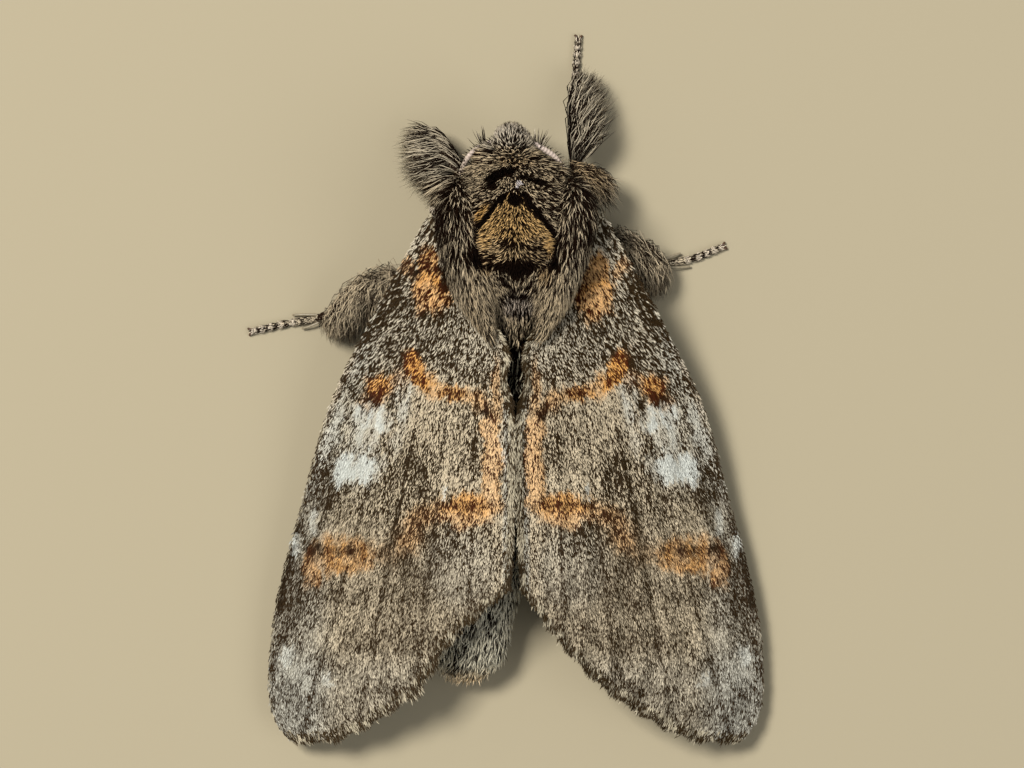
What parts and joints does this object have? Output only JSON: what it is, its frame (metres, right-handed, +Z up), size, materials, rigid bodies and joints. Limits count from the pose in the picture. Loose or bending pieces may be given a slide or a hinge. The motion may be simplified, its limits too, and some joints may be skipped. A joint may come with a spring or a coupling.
{
  "type": "prominent moth",
  "caption": "Resting prominent moth, life size: grey-brown mottled wings closed like a roof over a furry body, feathered antennae laid back and tufted legs spread flat.",
  "frame": {"origin": "on the floor under the middle of the moth's outline, in the plane between its two sides", "axes": "-Y is the way the head faces, +X the moth's own left, +Z up from the floor"},
  "size_m": [0.0208, 0.0287, 0.0074],
  "materials": {
    "wing_scales": "matt overlapping scales, grey-brown with orange-brown bands and white spots",
    "hindwing_scales": "matt fine scales, plain pale grey-brown",
    "body_hair": "long soft hair, dark brown with pale tips and an ochre patch on the back",
    "leg_hair": "soft grey hair, feet ringed dark and pale",
    "antenna": "pale scaled shaft with dark fine branches",
    "eye": "glossy, nearly black, finely faceted"
  },
  "bodies": {
    "root": {"thorax": "body_hair", "head": "body_hair", "abdomen": "body_hair", "tegula_left": "body_hair", "palp_left": "body_hair", "eye_left": "eye", "antenna_left": "antenna", "forewing_left": "wing_scales", "hindwing_left": "hindwing_scales", "foreleg_left": "leg_hair", "midleg_left": "leg_hair", "hindleg_left": "leg_hair", "tegula_right": "body_hair", "palp_right": "body_hair", "eye_right": "eye", "antenna_right": "antenna", "forewing_right": "wing_scales", "hindwing_right": "hindwing_scales", "foreleg_right": "leg_hair", "midleg_right": "leg_hair", "hindleg_right": "leg_hair"}
  },
  "joints": []
}
